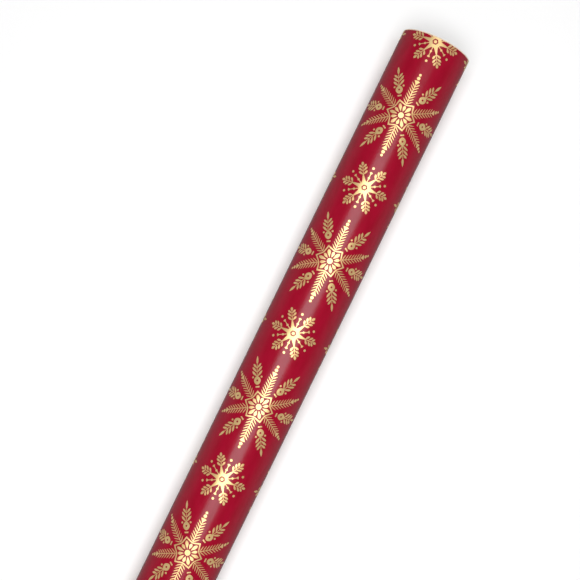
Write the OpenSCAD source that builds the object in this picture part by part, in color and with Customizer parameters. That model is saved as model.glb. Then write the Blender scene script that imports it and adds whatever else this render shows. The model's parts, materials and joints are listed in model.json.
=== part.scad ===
// Gift-wrap roll: one long sheet of coated paper wound on a three-ply board core.
// The roll lies on its side. X runs along the roll, Z is up, and the origin is on the floor
// under the middle of the roll. The outer turn is cut into strips that hinge on one another,
// so that it opens out flat on the floor towards +Y. Sizes are in millimetres.

/* [Paper sheet] */
// Width of the sheet, which is the length of the roll
sheet_width = 762; // [400:1:1000]
// Length of the sheet when it is unrolled
sheet_length = 3048; // [2000:1:9000]
// Thickness that each wound turn adds, paper and coating together
turn_pitch = 0.1; // [0.08:0.01:0.14]

/* [Core tube] */
// Inside diameter of the core, its bore
core_bore_d = 38.1; // [25:0.1:50.8]
// Thickness of each of the three board plies
ply_thickness = 0.4; // [0.3:0.05:0.6]
// How far each end of the core sits inside the end of the roll
core_inset = 1; // [0:0.5:5]

/* [Start tape] */
// Width around the core of the tape that holds the start of the sheet
tape_width = 12; // [6:1:18]
// Thickness of the tape
tape_thickness = 0.2; // [0.1:0.05:0.25]

/* [Outer turn] */
// Number of hinged strips in the outer turn
strips = 13; // [8:1:13]
// Angle around the roll that one strip covers, in degrees
strip_angle = 22.5; // [15:0.5:22.5]
// Thickness of a strip
strip_thickness = 0.2; // [0.15:0.05:0.3]
// Clearance between the strips and the turn under them
strip_clearance = 0.1; // [0.05:0.05:0.15]
// Gap between the ends of neighbouring strips
strip_gap = 0.1; // [0.05:0.05:0.3]

/* [Preview] */
// Facets around a full circle
$fn = 180; // [48:12:360]

/* [Hidden] */
bore_r = core_bore_d / 2;
core_r = bore_r + 3 * ply_thickness;
core_length = sheet_width - 2 * core_inset;

// The wound sheet fills a ring whose end area is the sheet's length times its pitch.
roll_r = sqrt(pow(core_r, 2) + sheet_length * turn_pitch / PI);
strip_r = roll_r - strip_thickness;
pack_r = strip_r - strip_clearance;

// Angles are measured from the floor line under the axis, and grow towards +Y.
tape_angle = tape_width / core_r * 180 / PI;
tape_start = 90;
first_hinge = strip_angle / 2;
free_edge = first_hinge + strips * strip_angle;
half_gap_angle = strip_gap / 2 / roll_r * 180 / PI;

// How far a cutting shape runs past the face it cuts
cut_margin = 1;

kraft_inner = [0.62, 0.47, 0.33];
kraft_middle = [0.70, 0.55, 0.40];
kraft_outer = [0.66, 0.51, 0.36];
tape_white = [0.92, 0.91, 0.87];
print_red = [0.58, 0.06, 0.13];
print_red_deep = [0.50, 0.05, 0.11];
paper_edge = [0.90, 0.84, 0.78];

function strip_name(i) = str("outer_turn_strip_", i < 10 ? "0" : "", i);

// Lays a shape made around Z along the roll's axis, where angle 0 points at the floor.
module on_roll_axis() {
    translate([0, 0, roll_r]) rotate([0, 90, 0]) children();
}

// Tube around the roll's axis
module tube(inner_r, outer_r, length) {
    on_roll_axis() difference() {
        cylinder(r = outer_r, h = length, center = true);
        cylinder(r = inner_r, h = length + 2 * cut_margin, center = true);
    }
}

// Part of a tube, from one angle to another
module shell(inner_r, outer_r, from, to, length) {
    on_roll_axis() rotate_extrude(angle = to - from, start = from)
        translate([inner_r, -length / 2]) square([outer_r - inner_r, length]);
}

// One board ply of the core, counted outwards from the bore
module core_ply(i) {
    tube(bore_r + i * ply_thickness, bore_r + (i + 1) * ply_thickness, core_length);
}

module core_inner_ply() { color(kraft_inner) core_ply(0); }
module core_middle_ply() { color(kraft_middle) core_ply(1); }
module core_outer_ply() { color(kraft_outer) core_ply(2); }

// Strip of tape on the core, under the first turn of the sheet
module start_tape() {
    color(tape_white)
        shell(core_r, core_r + tape_thickness, tape_start, tape_start + tape_angle, core_length);
}

// All the turns under the outer one, bedded around the start tape
module inner_turns() {
    color(paper_edge) difference() {
        tube(core_r, pack_r, sheet_width);
        shell(core_r - cut_margin, core_r + tape_thickness, tape_start, tape_start + tape_angle, core_length);
    }
}

// The part of the outer turn that the roll lies on, which stays on the roll
module outer_turn_base() {
    color(print_red_deep)
        shell(pack_r, roll_r, free_edge - 360 + half_gap_angle, first_hinge - half_gap_angle, sheet_width);
}

// Strip i of the outer turn. It hinges on the strip before it, along its outer edge.
module outer_turn_strip(i) {
    hinge = first_hinge + (i - 1) * strip_angle;
    color(i % 2 == 0 ? print_red : print_red_deep)
        shell(strip_r, roll_r, hinge + half_gap_angle, hinge + strip_angle - half_gap_angle, sheet_width);
}

core_inner_ply();
core_middle_ply();
core_outer_ply();
start_tape();
inner_turns();
outer_turn_base();
for (i = [1:strips])
    outer_turn_strip(i);
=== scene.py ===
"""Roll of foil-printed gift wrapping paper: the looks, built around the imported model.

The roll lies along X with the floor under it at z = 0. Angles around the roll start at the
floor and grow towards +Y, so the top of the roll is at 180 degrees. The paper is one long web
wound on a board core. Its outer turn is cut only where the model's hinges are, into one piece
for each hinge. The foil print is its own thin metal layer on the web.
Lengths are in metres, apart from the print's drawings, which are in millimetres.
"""

import json
import math

import bmesh
import bpy
import numpy as np
from mathutils import Matrix, Vector, geometry


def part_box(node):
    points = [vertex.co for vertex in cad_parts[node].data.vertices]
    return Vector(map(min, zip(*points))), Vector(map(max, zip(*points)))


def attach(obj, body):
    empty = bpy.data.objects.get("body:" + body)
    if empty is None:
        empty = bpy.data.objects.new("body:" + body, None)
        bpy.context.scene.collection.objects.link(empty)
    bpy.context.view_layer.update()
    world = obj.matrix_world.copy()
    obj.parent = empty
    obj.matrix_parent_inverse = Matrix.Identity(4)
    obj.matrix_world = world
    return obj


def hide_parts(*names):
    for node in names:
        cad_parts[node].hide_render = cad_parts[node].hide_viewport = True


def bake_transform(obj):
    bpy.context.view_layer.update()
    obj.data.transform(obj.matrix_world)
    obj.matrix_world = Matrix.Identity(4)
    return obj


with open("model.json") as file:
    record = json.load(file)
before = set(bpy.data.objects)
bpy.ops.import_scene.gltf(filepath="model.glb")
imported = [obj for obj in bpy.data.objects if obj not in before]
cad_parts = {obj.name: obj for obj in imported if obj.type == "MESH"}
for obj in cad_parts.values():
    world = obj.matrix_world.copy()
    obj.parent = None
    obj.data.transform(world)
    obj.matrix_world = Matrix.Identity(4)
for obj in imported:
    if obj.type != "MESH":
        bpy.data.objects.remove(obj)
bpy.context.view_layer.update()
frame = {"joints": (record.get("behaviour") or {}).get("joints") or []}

MM = 0.001

# ---------------------------------------------------------------- sizes of the web and the roll

PITCH = 0.1 * MM  # what one wound turn adds to the radius
SHEET = 0.07 * MM  # thickness of the paper itself
MARGIN = 0.6 * MM  # unprinted border along both long edges of the web; its cream is a painted highlight along the roll's rims
STEP = 3.75  # degrees: the print is cut on lines this far apart, so that it bends with the web
OUTER_STEP = 0.75  # degrees: facets of the outer turn
SECOND_STEP = 1.25  # degrees: facets of the second turn
INNER_STEP = 3.75  # degrees: facets of the turns below it
EDGE_LIFT = 0.12 * MM  # how far the free edge springs away from the roll
FOIL_TOP = 0.024 * MM  # the foil's upper face, above the paper
FOIL_BOTTOM = -0.008 * MM  # its lower face, pressed into the paper
TURN_SHIFT = 0.3 * MM  # how unevenly the ends of the inner turns line up
SHIFT_STEP = 120.0  # degrees between the places where that unevenness changes
SECOND_TURN_SHIFT = 0.3  # what the second turn has of it
START_SLACK = 0.15  # of a pitch: room between the tape and the start of the web
TAPE = 0.06 * MM  # thickness of the double-sided tape on the core
TAPE_FROM, TAPE_TO = 90.0, 124.0  # degrees: 12 mm of tape
BORE_R = 19.05 * MM  # inside of the core: 1.5 in across
PLY = 0.4 * MM  # each of the core's three plies of board
CORE_R = BORE_R + 3 * PLY
PLY_GAP = 0.002 * MM  # glue line on each side of a ply
CORE_LEAD = 88 * MM  # how far the core's board strips advance in one turn
CORE_STEP = 4.0  # degrees: facets of the core
SHARP_EDGE = 30.0  # degrees: sharper edges of the core aren't smoothed
END_TOLERANCE = 0.001 * MM  # for finding the core's cut ends

# ---------------------------------------------------------------- sizes of the print, in mm

COLUMN_ANGLE = 140.5  # degrees between neighbouring columns of flakes, 55 mm along the web
FIRST_COLUMN = 176.25  # degrees: the column along the top of the roll
FLAKE_SPACING = 49.03  # along the roll, from a large flake to the next small one
FIRST_FLAKE = 3.34  # from the +X end of the web to the first flake's centre
FLAKES_IN_COLUMN = 16
COLUMNS = range(-5, 2)  # counted from the top one: enough for the two outer turns
SMALL_ASIDE = 0.7  # the small flakes stand this far to one side of the column's line
LARGE_RADIUS = 31.0
SMALL_RADIUS = 16.0
CUT_SPARE = 1.0  # how far the cutting lines run past a flake


def roll_from_hinges():
    """The roll's outer radius and the hinges' angles in degrees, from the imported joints."""
    places = {j["name"]: j["pos_m"] for j in frame["joints"]}
    names = sorted(places)
    highest = max(places.values(), key=lambda p: p[2])
    radius = (highest[1] ** 2 + highest[2] ** 2) / (2 * highest[2])
    angles = [
        math.degrees(math.atan2(places[n][1], radius - places[n][2])) % 360
        for n in names
    ]
    return radius, angles


ROLL_R, HINGES = roll_from_hinges()
HINGE_STEP = (HINGES[-1] - HINGES[0]) / (len(HINGES) - 1)
FREE_EDGE = HINGES[-1] + HINGE_STEP
TURN_START = FREE_EDGE - 360  # where the outer turn leaves the second one
SECOND_TURN = TURN_START - 360  # where the second turn leaves the third
LAST_FLAT = HINGES[-1] + HINGE_STEP / 2  # from here to the free edge nothing bends
X_LOW, X_HIGH = (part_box("inner_turns")[i].x for i in (0, 1))


def web_radius(angle):
    """Radius of the web's outer face at an angle. Angles below TURN_START are deeper turns."""
    angle = np.asarray(angle, float)
    ramp = ROLL_R + PITCH * np.minimum(angle, 0) / -TURN_START
    deeper = ROLL_R - PITCH * (1 + (TURN_START - angle) / 360)
    lift = EDGE_LIFT * np.clip((angle - LAST_FLAT) / (FREE_EDGE - LAST_FLAT), 0, 1) ** 2
    return np.where(angle < TURN_START, deeper, ramp + lift)


def outward(angle):
    """Unit vectors away from the roll's axis."""
    a = np.radians(angle)
    return np.stack([np.zeros_like(a), np.sin(a), -np.cos(a)], -1)


def along_web(angle):
    """Unit vectors around the roll, in the direction of growing angle."""
    a = np.radians(angle)
    return np.stack([np.zeros_like(a), np.cos(a), np.sin(a)], -1)


def on_roll(x, angle, radius):
    """Points at x, angle in degrees and distance from the roll's axis."""
    points = outward(angle) * np.asarray(radius)[..., None]
    points[..., 0] = x
    points[..., 2] += ROLL_R
    return points


# ---------------------------------------------------------------- mesh building


def new_piece(name, points, faces, normals, slots, web, materials):
    """A mesh object from arrays. faces is a list of index arrays, one row for each face.

    normals holds one vector for each face corner, slots one material index for each face, both
    in the order of faces. web is each point's place on the unrolled web, which the materials
    read, so that their pattern stays on the paper when it moves.
    """
    mesh = bpy.data.meshes.new(name)
    corners = np.concatenate([f.ravel() for f in faces]).astype(np.int32)
    sizes = np.concatenate([np.full(len(f), f.shape[1]) for f in faces])
    starts = np.concatenate([[0], np.cumsum(sizes)[:-1]]).astype(np.int32)
    mesh.vertices.add(len(points))
    mesh.vertices.foreach_set("co", np.asarray(points, np.float32).ravel())
    mesh.loops.add(len(corners))
    mesh.loops.foreach_set("vertex_index", corners)
    mesh.polygons.add(len(sizes))
    mesh.polygons.foreach_set("loop_start", starts)
    mesh.polygons.foreach_set("material_index", np.asarray(slots, np.int32))
    mesh.polygons.foreach_set("use_smooth", np.ones(len(sizes), bool))
    for material in materials:
        mesh.materials.append(material)
    mesh.update(calc_edges=True)
    mesh.attributes.new("web", "FLOAT_VECTOR", "POINT").data.foreach_set(
        "vector", np.asarray(web, np.float32).ravel()
    )
    mesh.normals_split_custom_set(np.concatenate(normals).reshape(-1, 3).tolist())
    piece = bpy.data.objects.new(name, mesh)
    bpy.context.scene.collection.objects.link(piece)
    return piece


def steps(start, end, step):
    """Angles from start to end, evenly spaced and at most step apart."""
    return np.linspace(start, end, max(2, math.ceil((end - start) / step - 1e-6) + 1))


def web_solid(
    name, angles, materials, shift_low=0.0, shift_high=0.0, outer=None, thickness=SHEET
):
    """A closed strip of the web between the first and last angle.

    materials are the printed face, the white back and the cut edge, whose cream also fills the
    unprinted borders as a painted highlight along the rims. The shifts move the two long edges, for
    turns that don't line up. outer is the radius, where it isn't the web's.
    """
    n = len(angles)
    outer = web_radius(angles) if outer is None else np.full(n, outer)
    inner = outer - thickness
    low = X_LOW + shift_low + np.zeros(n)
    high = X_HIGH + shift_high + np.zeros(n)
    # Around the section: outer face from low to high x, then the inner face back again.
    across = [low, low + MARGIN, high - MARGIN, high, high, low]
    radii = [outer, outer, outer, outer, inner, inner]
    points = np.stack([on_roll(x, angles, r) for x, r in zip(across, radii)], 1)
    arc = np.radians(angles) * ROLL_R
    web = np.stack(
        [
            np.stack(across, 1),
            np.repeat(arc[:, None], 6, 1),
            np.stack(radii, 1) - outer[:, None],
        ],
        -1,
    )
    out, back = outward(angles), -outward(angles)
    x_axis = np.tile([1.0, 0.0, 0.0], (n, 1))
    sides = [out, out, out, x_axis, back, -x_axis]
    printed, back_side, edge = 0, 1, 2
    # the unprinted borders on the outer face take the edge's cream: a painted highlight along the rims
    side_slots = [edge, printed, edge, edge, back_side, edge]
    rows = np.arange(n)[:, None] * 6
    faces, normals, slots = [], [], []
    for k in range(6):
        a, b = rows[:-1] + k, rows[:-1] + (k + 1) % 6
        c, d = b + 6, a + 6
        faces.append(np.concatenate([a, d, c, b], 1))
        s = sides[k]
        normals.append(np.stack([s[:-1], s[1:], s[1:], s[:-1]], 1))
        slots += [side_slots[k]] * (n - 1)
    first, last = rows[0] + np.arange(6), rows[-1] + np.arange(6)
    faces += [first[None, :], last[None, ::-1]]
    t = along_web(angles)
    normals += [np.tile(-t[0], (1, 6, 1)), np.tile(t[-1], (1, 6, 1))]
    slots += [edge, edge]
    return new_piece(
        name,
        points.reshape(-1, 3),
        faces,
        [v.reshape(-1, 3) for v in normals],
        slots,
        web.reshape(-1, 3),
        materials,
    )


# ---------------------------------------------------------------- drawing the print, in mm


def disc(x, y, radius, count=14):
    """A round dot, as a polygon of count sides."""
    a = np.arange(count) * 2 * math.pi / count
    return np.stack([x + radius * np.cos(a), y + radius * np.sin(a)], 1)


def blade(length, width, belly=1.0, fullness=1.0, count=5):
    """A leaf along +x from the origin. belly above 1 moves its widest place to the tip."""
    t = np.linspace(0, 1, count + 2)[1:-1]
    half = width / 2 * np.sin(math.pi * t**belly) ** fullness
    upper = np.stack([t * length, half], 1)
    return np.concatenate([[[0, 0]], upper, [[length, 0]], (upper * [1, -1])[::-1]])


def bar(start, end, width_start, width_end):
    """A tapered bar along +x."""
    a, b = width_start / 2, width_end / 2
    return np.array([[start, -a], [end, -b], [end, b], [start, a]])


def moved(shape, x=0.0, y=0.0, turn=0.0):
    """The shape turned about the origin, in degrees, and then shifted."""
    a = math.radians(turn)
    rotation = np.array([[math.cos(a), math.sin(a)], [-math.sin(a), math.cos(a)]])
    return shape @ rotation + [x, y]


def leaf_pair(x, length, width, spread, belly, fullness):
    """Two leaves from one place on the x axis, spread degrees to each side of it."""
    leaf = blade(length, width, belly, fullness)
    return [moved(leaf, x, 0, spread), moved(leaf, x, 0, -spread)]


def star(point_radius, valley_radius, sharpness, count=6):
    """A concave star of six points, at 30 degrees and every 60 degrees from there."""
    t = np.linspace(0, 1, count + 1)[:-1]
    rise = valley_radius + (point_radius - valley_radius) * t**sharpness
    fall = valley_radius + (point_radius - valley_radius) * (1 - t) ** sharpness
    radii = np.tile(np.concatenate([rise, fall]), 6)
    a = np.radians(np.arange(len(radii)) * 30 / count)
    return np.stack([radii * np.cos(a), radii * np.sin(a)], 1)


def fir_arm():
    """A spine with needles, a triangle and two dots, along +x."""
    shapes = [bar(7.5, 20.8, 0.55, 0.4)]
    for i in range(7):
        length = 4.3 - 0.14 * i
        shapes += leaf_pair(7.4 + 1.92 * i, length, 0.56, 48, 0.9, 0.7)
    shapes.append(np.array([[20.2, 0], [22.8, -1.75], [23.1, 0], [22.8, 1.75]]))
    shapes += [disc(24.6, 0, 1.05), disc(26.8, 0, 0.8, 12)]
    return [(s, True) for s in shapes]


def leaf_arm():
    """A dash, a pierced bud, two dots and a leafy twig, along +x."""
    dash = np.array([[11.7, -1.15], [12.6, -1.3], [12.6, 1.3], [11.7, 1.15]])
    a = np.arange(20) * math.pi / 10
    bud = np.stack(
        [
            16.0 + 2.6 * np.sign(np.cos(a)) * np.abs(np.cos(a)) ** 1.25,
            2.25 * np.sign(np.sin(a)) * np.abs(np.sin(a)) ** 1.05,
        ],
        1,
    )
    shapes = [(dash, True), (bud, True), (disc(16.0, 0, 0.6, 12), False)]
    shapes += [(disc(18.1, s * 2.85, 0.66, 12), True) for s in (1, -1)]
    shapes.append((bar(18.2, 26.6, 0.5, 0.36), True))
    for x, length in ((18.2, 5.1), (20.8, 5.1), (23.4, 4.1)):
        shapes += [(s, True) for s in leaf_pair(x, length, 1.35, 43, 1.4, 0.75)]
    shapes.append((moved(blade(5.4, 1.6, 0.85, 0.85), 25.9), True))
    return shapes


def large_flake():
    """Shapes of the large snowflake. Each is an outline, and True to add or False to cut."""
    shapes = [(star(9.9, 7.15, 1.8), True), (star(8.6, 6.45, 1.8), False)]
    shapes.append((disc(0, 0, 1.75, 18), True))
    for k in range(12):
        length = (3.85, 5.2)[k % 2]
        petal = moved(blade(length, 1.85 + 0.15 * (k % 2), 1.55, 0.8, 7), 2.3)
        shapes.append((moved(petal, turn=30 * k), True))
    for k in range(6):
        shapes += [(moved(s, turn=60 * k), add) for s, add in fir_arm()]
        shapes += [(moved(s, turn=60 * k + 30), add) for s, add in leaf_arm()]
    return shapes


def small_flake():
    """Shapes of the small snowflake, as in large_flake."""
    shapes = [(star(9.6, 3.7, 3.6), True), (moved(disc(0, 0, 1.95, 6), turn=30), False)]
    shapes.append((disc(0, 0, 0.98, 14), True))
    for k in range(6):
        arm = [bar(7.5, 14.8, 0.5, 0.36), moved(blade(2.6, 1.6, 1.1, 0.6), 13.6)]
        for x, length in ((7.9, 3.6), (10.1, 3.8), (12.2, 3.2)):
            arm += leaf_pair(x, length, 1.35, 48, 1.7, 0.7)
        pin = [
            bar(3.5, 9.4, 0.46, 0.4),
            np.array([[5.2, 0], [6.3, -0.8], [7.5, 0], [6.3, 0.8]]),
            np.array([[8.4, 0], [9.9, -1.0], [10.3, 0], [9.9, 1.0]]),
            disc(12.75, 0, 0.8, 12),
        ]
        shapes += [(moved(s, turn=60 * k + 30), True) for s in arm]
        shapes += [(moved(s, turn=60 * k), True) for s in pin]
    return shapes


def flake_pattern(shapes, radius, cut_low=None, cut_high=None):
    """The union of a flake's shapes as triangles, cut on the web's bending lines.

    It returns the points in mm, x along the roll and y around it, the triangles, and the number
    of the bending strip that each triangle lies in. cut_low and cut_high end the print at an
    edge of the web.
    """
    line_gap = math.radians(STEP) * ROLL_R / MM
    points, edges, outlines = [], [], []
    for outline, _ in shapes:
        x, y = outline[:, 0], outline[:, 1]
        clockwise = np.sum(x * np.roll(y, -1) - y * np.roll(x, -1)) < 0
        if clockwise:  # the triangulation needs them the other way round
            outline = outline[::-1]
        outlines.append(list(range(len(points), len(points) + len(outline))))
        points += [Vector(p) for p in outline]
    reach = radius + CUT_SPARE

    def cut_line(a, b):
        edges.append((len(points), len(points) + 1))
        points.extend([Vector(a), Vector(b)])

    for i in range(-math.ceil(reach / line_gap), math.ceil(reach / line_gap) + 1):
        cut_line((-reach, i * line_gap), (reach, i * line_gap))
    for limit in (cut_low, cut_high):
        if limit is not None:
            cut_line((limit, -reach), (limit, reach))
    made, _, triangles, _, _, sources = geometry.delaunay_2d_cdt(
        points, edges, outlines, 0, 1e-5
    )
    made = np.array([tuple(p) for p in made])
    kept = [t for t, s in zip(triangles, sources) if s and shapes[max(s)][1]]
    kept = np.array(kept)
    centres = made[kept].mean(1)
    inside = np.ones(len(kept), bool)
    if cut_low is not None:
        inside &= centres[:, 0] > cut_low
    if cut_high is not None:
        inside &= centres[:, 0] < cut_high
    kept, centres = kept[inside], centres[inside]
    a, b, c = (made[kept[:, i]] for i in range(3))
    area = np.cross(b - a, c - a)
    kept[area < 0] = kept[area < 0][:, ::-1]
    solid = np.abs(area) > 1e-7  # leaves out slivers with no area
    strips = np.floor(centres[:, 1] / line_gap).astype(int)
    return made, kept[solid], strips[solid]


def flake_places():
    """Every flake that could lie on the two outer turns.

    Each is its angle, its x in mm, whether it is large, and where the web's unprinted borders
    cut it, measured from its centre.
    """
    low, high = X_LOW / MM, X_HIGH / MM
    for column in COLUMNS:
        column_angle = FIRST_COLUMN + COLUMN_ANGLE * column
        for i in range(FLAKES_IN_COLUMN):
            large = (i + column) % 2 == 1
            angle = column_angle - (0 if large else math.degrees(SMALL_ASIDE * MM / ROLL_R))
            x = high - FIRST_FLAKE - FLAKE_SPACING * i
            reach = LARGE_RADIUS if large else SMALL_RADIUS
            cut_low = low + MARGIN / MM - x
            cut_high = high - MARGIN / MM - x
            yield (
                angle,
                x,
                large,
                round(cut_low, 3) if cut_low > -reach else None,
                round(cut_high, 3) if cut_high < reach else None,
            )


PATTERNS = {}


def pattern(large, cut_low, cut_high):
    """A flake's triangles, made once for all the flakes that share them."""
    key = (large, cut_low, cut_high)
    if key not in PATTERNS:
        shapes, radius = (large_flake(), LARGE_RADIUS) if large else (small_flake(), SMALL_RADIUS)
        PATTERNS[key] = flake_pattern(shapes, radius, cut_low, cut_high)
    return PATTERNS[key]


def foil_between(name, start, end, material):
    """The print's foil on the web from one angle to another, as closed plates.

    Each flake gives its upper and lower triangles, and a wall along its rim: the triangle sides
    that no neighbour shares.
    """
    points, web, faces3, faces4, normals3, normals4 = [], [], [], [], [], []
    count = 0
    for angle, x, large, cut_low, cut_high in flake_places():
        flat, triangles, strips = pattern(large, cut_low, cut_high)
        middle = angle + (strips + 0.5) * STEP
        triangles = triangles[(middle > start) & (middle < end)]
        if not len(triangles):
            continue
        used, triangles = np.unique(triangles, return_inverse=True)
        triangles = triangles.reshape(-1, 3)
        flat = flat[used]
        n = len(flat)
        angles = angle + np.degrees(flat[:, 1] * MM / ROLL_R)
        out, around = outward(angles), along_web(angles)
        xs = (x + flat[:, 0]) * MM
        radius = web_radius(np.clip(angles, start + 1e-6, end))
        points += [
            on_roll(xs, angles, radius + FOIL_TOP),
            on_roll(xs, angles, radius + FOIL_BOTTOM),
        ]
        place = np.stack([xs, np.radians(angles) * ROLL_R, np.zeros(n)], 1)
        web += [place, place]
        top, bottom = triangles[:, ::-1], triangles + n
        faces3 += [top + count, bottom + count]
        normals3 += [out[top], -out[triangles]]
        a = triangles.ravel()
        b = np.roll(triangles, -1, 1).ravel()
        rim = ~np.isin(a * n + b, b * n + a)
        a, b = a[rim], b[rim]
        faces4.append(np.stack([a, b, b + n, a + n], 1) + count)
        run = flat[b] - flat[a]
        run /= np.linalg.norm(run, axis=1)[:, None] + 1e-12
        wall = np.stack([run[:, 1], np.zeros(len(a)), np.zeros(len(a))], 1)
        wall = wall - run[:, :1] * around[a]
        normals4.append(np.repeat(wall[:, None, :], 4, 1))
        count += 2 * n
    faces = [np.concatenate(faces3), np.concatenate(faces4)]
    normals = [np.concatenate(normals3).reshape(-1, 3), np.concatenate(normals4).reshape(-1, 3)]
    return new_piece(
        name,
        np.concatenate(points),
        faces,
        normals,
        np.zeros(sum(len(f) for f in faces)),
        np.concatenate(web),
        [material],
    )


# ---------------------------------------------------------------- materials


class Nodes:
    """Short calls for building one material's node tree."""

    def __init__(self, name):
        self.material = bpy.data.materials.new(name)
        self.material.use_nodes = True
        self.tree = self.material.node_tree
        self.shader = self.tree.nodes["Principled BSDF"]

    def add(self, kind, **settings):
        node = self.tree.nodes.new(kind)
        for key, value in settings.items():
            setattr(node, key, value)
        return node

    def link(self, out, into):
        self.tree.links.new(out, into)

    def set(self, **values):
        for key, value in values.items():
            self.shader.inputs[key.replace("_", " ")].default_value = value

    def web(self):
        """Each point's place on the unrolled web, in metres."""
        return self.add("ShaderNodeAttribute", attribute_name="web").outputs["Vector"]

    def scaled(self, vector, scale):
        node = self.add("ShaderNodeMapping")
        node.inputs["Scale"].default_value = scale
        self.link(vector, node.inputs["Vector"])
        return node.outputs["Vector"]

    def noise(self, vector, scale, detail=3.0, roughness=0.5):
        node = self.add("ShaderNodeTexNoise")
        node.inputs["Scale"].default_value = scale
        node.inputs["Detail"].default_value = detail
        node.inputs["Roughness"].default_value = roughness
        self.link(vector, node.inputs["Vector"])
        return node.outputs["Fac"]

    def ramp(self, value, low, high, at=(0.35, 0.65)):
        """Maps value to a colour or number between low and high."""
        node = self.add("ShaderNodeValToRGB")
        for element, place, colour in zip(node.color_ramp.elements, at, (low, high)):
            element.position = place
            element.color = colour if hasattr(colour, "__len__") else (colour,) * 3 + (1,)
        self.link(value, node.inputs["Fac"])
        return node.outputs["Color"]

    def bump(self, height, depth, strength=1.0, under=None):
        node = self.add("ShaderNodeBump")
        node.inputs["Strength"].default_value = strength
        node.inputs["Distance"].default_value = depth
        self.link(height, node.inputs["Height"])
        if under is not None:
            self.link(under, node.inputs["Normal"])
        return node.outputs["Normal"]


def coated_print():
    """Deep red ink under a gloss coat, with the paper's grain faintly in it."""
    m = Nodes("red_print")
    web = m.web()
    clouds = m.noise(m.scaled(web, (1, 2.5, 1)), 90, 4)
    dark, light = (0.276, 0.0022, 0.0165, 1), (0.307, 0.0029, 0.0205, 1)
    m.link(m.ramp(clouds, dark, light), m.shader.inputs["Base Color"])
    m.link(m.ramp(m.noise(web, 400, 3), 0.22, 0.27), m.shader.inputs["Roughness"])
    ripple = m.bump(m.noise(m.scaled(web, (1, 3, 1)), 25, 1), 0.00002, 0.5)
    m.link(m.bump(m.noise(web, 3500, 4, 0.6), 0.0000025, 0.5, ripple), m.shader.inputs["Normal"])
    m.set(Specular_IOR_Level=0.38, Specular_Tint=(0.6, 1, 1, 1))
    return m.material


def gold_foil():
    """Gold foil: part mirror, part pigment, slightly brushed by the paper's grain under it."""
    m = Nodes("gold_foil")
    web = m.web()
    tone = m.noise(web, 240, 3)
    dark, light = (0.88, 0.605, 0.255, 1), (0.97, 0.70, 0.33, 1)
    m.link(m.ramp(tone, dark, light), m.shader.inputs["Base Color"])
    m.link(m.ramp(m.noise(m.scaled(web, (1, 3, 1)), 900, 4), 0.28, 0.37), m.shader.inputs["Roughness"])
    m.link(m.bump(m.noise(web, 2600, 4, 0.6), 0.000004, 0.6), m.shader.inputs["Normal"])
    m.set(Metallic=0.6)
    return m.material


def white_back():
    """The web's uncoated back, with short paper fibres."""
    m = Nodes("paper_back")
    web = m.web()
    fibres = m.noise(m.scaled(web, (1, 2.2, 1)), 1800, 5, 0.65)
    clouds = m.noise(web, 160, 4)
    dark, light = (0.63, 0.615, 0.585, 1), (0.69, 0.675, 0.65, 1)
    m.link(m.ramp(clouds, dark, light), m.shader.inputs["Base Color"])
    m.link(m.ramp(fibres, 0.72, 0.86), m.shader.inputs["Roughness"])
    m.link(m.bump(fibres, 0.00002, 0.6), m.shader.inputs["Normal"])
    m.set(Specular_IOR_Level=0.3)
    return m.material


def cut_edge_and_rim_highlight():
    """The paper's cream colour on its cut edges, and in the unprinted border a painted highlight along
    the roll's rims.
    """
    m = Nodes("paper_edge")
    web = m.web()
    tone = m.noise(m.scaled(web, (1, 1, 40)), 700, 4)
    # on the unprinted border this cream is a painted highlight along the rims
    dark, light = (0.66, 0.52, 0.40, 1), (0.78, 0.66, 0.52, 1)
    m.link(m.ramp(tone, dark, light), m.shader.inputs["Base Color"])
    m.link(m.ramp(tone, 0.6, 0.8), m.shader.inputs["Roughness"])
    m.link(m.bump(m.noise(web, 3000, 4), 0.00001, 0.5), m.shader.inputs["Normal"])
    return m.material


def core_board(name, dark, light):
    """Grey-brown recycled board, with fibres along the roll."""
    m = Nodes(name)
    place = m.add("ShaderNodeTexCoord").outputs["Object"]
    fibres = m.noise(m.scaled(place, (1, 3, 3)), 900, 5, 0.65)
    m.link(m.ramp(fibres, dark, light), m.shader.inputs["Base Color"])
    m.link(m.ramp(fibres, 0.95, 0.8), m.shader.inputs["Roughness"])
    m.link(m.bump(fibres, 0.00006, 0.7), m.shader.inputs["Normal"])
    m.set(Specular_IOR_Level=0.25)
    return m.material


def tape_film():
    """Off-white double-sided tape."""
    m = Nodes("tape")
    web = m.web()
    tone = m.noise(web, 300, 3)
    dark, light = (0.72, 0.70, 0.62, 1), (0.80, 0.78, 0.70, 1)
    m.link(m.ramp(tone, dark, light), m.shader.inputs["Base Color"])
    m.link(m.ramp(tone, 0.35, 0.5), m.shader.inputs["Roughness"])
    return m.material


def floor_paint():
    """Plain white studio floor."""
    m = Nodes("floor")
    place = m.add("ShaderNodeTexCoord").outputs["Object"]
    dark, light = (0.865, 0.865, 0.865, 1), (0.885, 0.885, 0.885, 1)
    m.link(m.ramp(m.noise(place, 3, 2), dark, light), m.shader.inputs["Base Color"])
    m.link(m.ramp(m.noise(place, 40, 2), 0.85, 0.95), m.shader.inputs["Roughness"])
    m.set(Specular_IOR_Level=0.1)
    return m.material


# ---------------------------------------------------------------- camera, floor and light

CAMERA_TURN = 26.0  # degrees between the picture's upright and the roll
CAMERA_PLACE = (0.2043, 0.0154, 0.6655)
CAMERA_LENS = 63.75
FLOOR_HALF = 30.0
FLOOR_LEVEL = -0.1 * MM
LAMP_X = 0.13  # middle of the overhead lamps, along the roll
LAMP_HEIGHT = 1.0
LAMP_SIZE = (0.78, 0.66)
LAMP_GAP = 1 * MM  # between the two overhead lamps
END_LAMP_SPREAD = 24  # degrees
ROOM_GREY = (0.27, 0.06)  # the room's brightness near the horizon and overhead
ROOM_RISE = (0.06, 0.40)  # it changes between these heights, as parts of the way up


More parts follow.
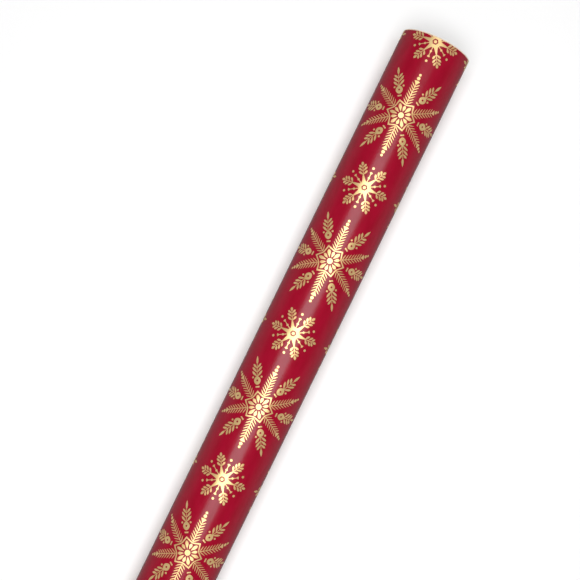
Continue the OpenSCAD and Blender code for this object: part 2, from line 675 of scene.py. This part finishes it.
def make_camera():
    """Straight down on the roll's +X half, turned as in the photograph."""
    data = bpy.data.cameras.new("camera")
    data.lens = CAMERA_LENS
    data.sensor_width = 36
    data.clip_start, data.clip_end = 0.01, 50
    camera = bpy.data.objects.new("camera", data)
    bpy.context.scene.collection.objects.link(camera)
    s, c = math.sin(math.radians(CAMERA_TURN)), math.cos(math.radians(CAMERA_TURN))
    camera.matrix_world = Matrix.Translation(CAMERA_PLACE) @ Matrix(
        ((s, c, 0, 0), (-c, s, 0, 0), (0, 0, 1, 0), (0, 0, 0, 1))
    )
    bpy.context.scene.camera = camera


def make_floor():
    """One wide sheet just under the roll."""
    mesh = bpy.data.meshes.new("floor")
    corners = [(-1, -1), (1, -1), (1, 1), (-1, 1)]
    mesh.from_pydata(
        [(x * FLOOR_HALF, y * FLOOR_HALF, FLOOR_LEVEL) for x, y in corners], [], [(0, 1, 2, 3)]
    )
    mesh.materials.append(floor_paint())
    floor = bpy.data.objects.new("floor", mesh)
    bpy.context.scene.collection.objects.link(floor)
    floor.visible_glossy = False  # the roll's sides reflect the dim room, not the white floor


def softbox(name, height, power):
    """A rectangular lamp over the roll, facing straight down."""
    data = bpy.data.lights.new(name, "AREA")
    data.shape = "RECTANGLE"
    data.size, data.size_y = LAMP_SIZE
    data.energy = power
    lamp = bpy.data.objects.new(name, data)
    lamp.location = (LAMP_X, 0, height)
    lamp.visible_camera = False
    bpy.context.scene.collection.objects.link(lamp)
    return lamp


def sun(name, elevation, azimuth, strength):
    """A distant soft lamp. Azimuth 0 comes from +X."""
    data = bpy.data.lights.new(name, "SUN")
    data.energy = strength
    data.angle = math.radians(END_LAMP_SPREAD)
    lamp = bpy.data.objects.new(name, data)
    e, a = math.radians(elevation), math.radians(azimuth)
    back = Vector((math.cos(e) * math.cos(a), math.cos(e) * math.sin(a), math.sin(e)))
    lamp.rotation_mode = "QUATERNION"
    lamp.rotation_quaternion = (-back).to_track_quat("-Z", "Y")
    bpy.context.scene.collection.objects.link(lamp)


def make_lights():
    """Overhead lamps for the streak and the soft shadow, lamps off the ends, and a dim room."""
    softbox("key", LAMP_HEIGHT, power=6.45)
    fill = softbox("fill", LAMP_HEIGHT + LAMP_GAP, power=3.8)
    fill.visible_glossy = False  # it brightens the paper without brightening the streak
    sun("end_high", elevation=45, azimuth=0, strength=1.2)
    sun("end_low", elevation=40, azimuth=180, strength=0.06)
    world = bpy.data.worlds.new("room")
    world.use_nodes = True
    tree = world.node_tree
    direction = tree.nodes.new("ShaderNodeTexCoord")
    split = tree.nodes.new("ShaderNodeSeparateXYZ")
    ramp = tree.nodes.new("ShaderNodeValToRGB")
    tree.links.new(direction.outputs["Generated"], split.inputs["Vector"])
    tree.links.new(split.outputs["Z"], ramp.inputs["Fac"])
    tree.links.new(ramp.outputs["Color"], tree.nodes["Background"].inputs["Color"])
    for element, place, grey in zip(ramp.color_ramp.elements, ROOM_RISE, ROOM_GREY):
        element.position = place
        element.color = (grey, grey, grey, 1)
    bpy.context.scene.world = world
    bpy.context.scene.view_settings.view_transform = "Standard"


# ---------------------------------------------------------------- the core and the tape


def core_ply(name, half, inner, outer, seam_angle, gap, material):
    """One ply of the core: a board strip wound in a helix, with an open seam between turns.

    The helix runs past both ends, half the core's length from the middle, and is cut there.
    """
    turns = math.ceil((2 * half) / CORE_LEAD) + 2
    angles = np.arange(0, turns * 360 + CORE_STEP / 2, CORE_STEP)
    start = -CORE_LEAD * turns / 2
    width = CORE_LEAD - gap
    bm = bmesh.new()
    rows = []
    for a in angles:
        x = start + CORE_LEAD * a / 360
        at = np.array([a + seam_angle])
        row = []
        for offset, r in ((0, inner), (0, outer), (width, outer), (width, inner)):
            row.append(bm.verts.new(on_roll(x + offset, at, np.array([r]))[0]))
        rows.append(row)
    for a, b in zip(rows, rows[1:]):
        for k in range(4):
            bm.faces.new((a[k], a[(k + 1) % 4], b[(k + 1) % 4], b[k]))
    for side in (-1, 1):
        end = side * half
        geom = bm.verts[:] + bm.edges[:] + bm.faces[:]
        bmesh.ops.bisect_plane(
            bm, geom=geom, plane_co=(end, 0, 0), plane_no=(side, 0, 0), clear_outer=True
        )
        open_edges = [e for e in bm.edges if e.is_boundary]
        rim = [e for e in open_edges if all(abs(v.co.x - end) < END_TOLERANCE for v in e.verts)]
        bmesh.ops.triangle_fill(bm, edges=rim, use_beauty=True)
    bmesh.ops.recalc_face_normals(bm, faces=bm.faces)
    for f in bm.faces:
        f.smooth = True
    for e in bm.edges:
        if len(e.link_faces) == 2 and e.calc_face_angle(0) > math.radians(SHARP_EDGE):
            e.smooth = False
    mesh = bpy.data.meshes.new(name)
    bm.to_mesh(mesh)
    bm.free()
    mesh.materials.append(material)
    piece = bpy.data.objects.new(name, mesh)
    bpy.context.scene.collection.objects.link(piece)
    return piece


def make_core():
    """Three plies of board, from the inside out, each with its seam elsewhere."""
    looks = [
        ("inner", (0.30, 0.21, 0.135, 1), (0.42, 0.31, 0.21, 1), 0.0, 0.35 * MM),
        ("middle", (0.34, 0.25, 0.165, 1), (0.46, 0.35, 0.25, 1), 120.0, 0.25 * MM),
        ("outer", (0.32, 0.23, 0.15, 1), (0.44, 0.33, 0.23, 1), 240.0, 0.25 * MM),
    ]
    for k, (tag, dark, light, seam, gap) in enumerate(looks):
        node = f"core_{tag}_ply"
        inner = BORE_R + k * PLY
        board = core_board(f"{tag}_board", dark, light)
        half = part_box(node)[1].x
        low, high = inner + PLY_GAP, inner + PLY - PLY_GAP
        piece = core_ply(f"core_ply_{tag}", half, low, high, seam, gap, board)
        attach(piece, "roll")
        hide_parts(node)


def make_tape():
    """The strip of tape that holds the start of the web."""
    film = tape_film()
    angles = steps(TAPE_FROM, TAPE_TO, SECOND_STEP)
    inset = X_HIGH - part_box("start_tape")[1].x
    tape = web_solid("tape_start", angles, [film] * 3, inset, -inset, CORE_R + TAPE, TAPE)
    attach(tape, "roll")
    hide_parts("start_tape")


# ---------------------------------------------------------------- the paper


def make_outer_turn(faces, foil):
    """The outer turn and its print.

    It is a base that stays on the roll, a piece around each hinge, and the free edge.
    """
    limits = [TURN_START, 0.0] + [h + HINGE_STEP / 2 for h in HINGES] + [FREE_EDGE]
    bodies = ["roll"] + [f"strip_{k:02d}" for k in range(1, len(HINGES) + 1)]
    for k, (start, end) in enumerate(zip(limits, limits[1:])):
        tag = "base" if k == 0 else "free_edge" if k == len(limits) - 2 else f"{k:02d}"
        paper = web_solid(f"paper_outer_{tag}", steps(start, end, OUTER_STEP), faces)
        print_layer = foil_between(f"foil_outer_{tag}", start, end, foil)
        for piece, name in ((paper, "printed_paper"), (print_layer, "gold_foil")):
            if tag == "base":
                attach(piece, "roll")
            elif tag == "free_edge":
                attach(piece, bodies[-1])
            else:
                first, last = (
                    on_roll(0.0, np.array([a]), np.array([ROLL_R]))[0] for a in (start, end)
                )
                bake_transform(piece)
        if tag == "base":
            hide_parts("outer_turn_base")
        elif tag != "free_edge":
            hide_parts(f"outer_turn_strip_{k:02d}")


def make_inner_turns(faces):
    """The turns under the outer one, as one spiral down to the tape on the core."""
    room = ROLL_R - PITCH - CORE_R - TAPE - SHEET
    deepest = TURN_START - 360 * (room / PITCH - START_SLACK)
    tape_middle = (TAPE_FROM + TAPE_TO) / 2
    web_start = tape_middle - 360 * math.ceil((tape_middle - deepest) / 360 - 1)
    angles = np.concatenate(
        [
            steps(web_start, SECOND_TURN, INNER_STEP)[:-1],
            steps(SECOND_TURN, TURN_START, SECOND_STEP),
        ]
    )
    random = np.random.default_rng(7)
    spare = 180.0
    knots = np.arange(web_start - spare, TURN_START + spare + 1, SHIFT_STEP)
    shifts = [random.uniform(-1, 0, len(knots)) * TURN_SHIFT for _ in range(2)]
    for s in shifts:
        s[knots > SECOND_TURN - SHIFT_STEP / 2] *= SECOND_TURN_SHIFT
    inner = web_solid(
        "paper_inner_turns",
        angles,
        faces,
        -np.interp(angles, knots, shifts[0]),
        np.interp(angles, knots, shifts[1]),
    )
    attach(inner, "roll")
    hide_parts("inner_turns")


def make_second_turn_print(foil):
    """The print on the second turn, which shows when the outer one unrolls."""
    quarters = np.linspace(SECOND_TURN, TURN_START, 4 + 1)
    for i, (start, end) in enumerate(zip(quarters, quarters[1:])):
        layer = foil_between(f"foil_second_turn_{i + 1}", start, end, foil)
        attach(layer, "roll")


def make_paper():
    """The whole web, with its print."""
    faces = [coated_print(), white_back(), cut_edge_and_rim_highlight()]
    foil = gold_foil()
    make_outer_turn(faces, foil)
    make_inner_turns(faces)
    make_second_turn_print(foil)


make_camera()
make_floor()
make_lights()
make_core()
make_tape()
make_paper()
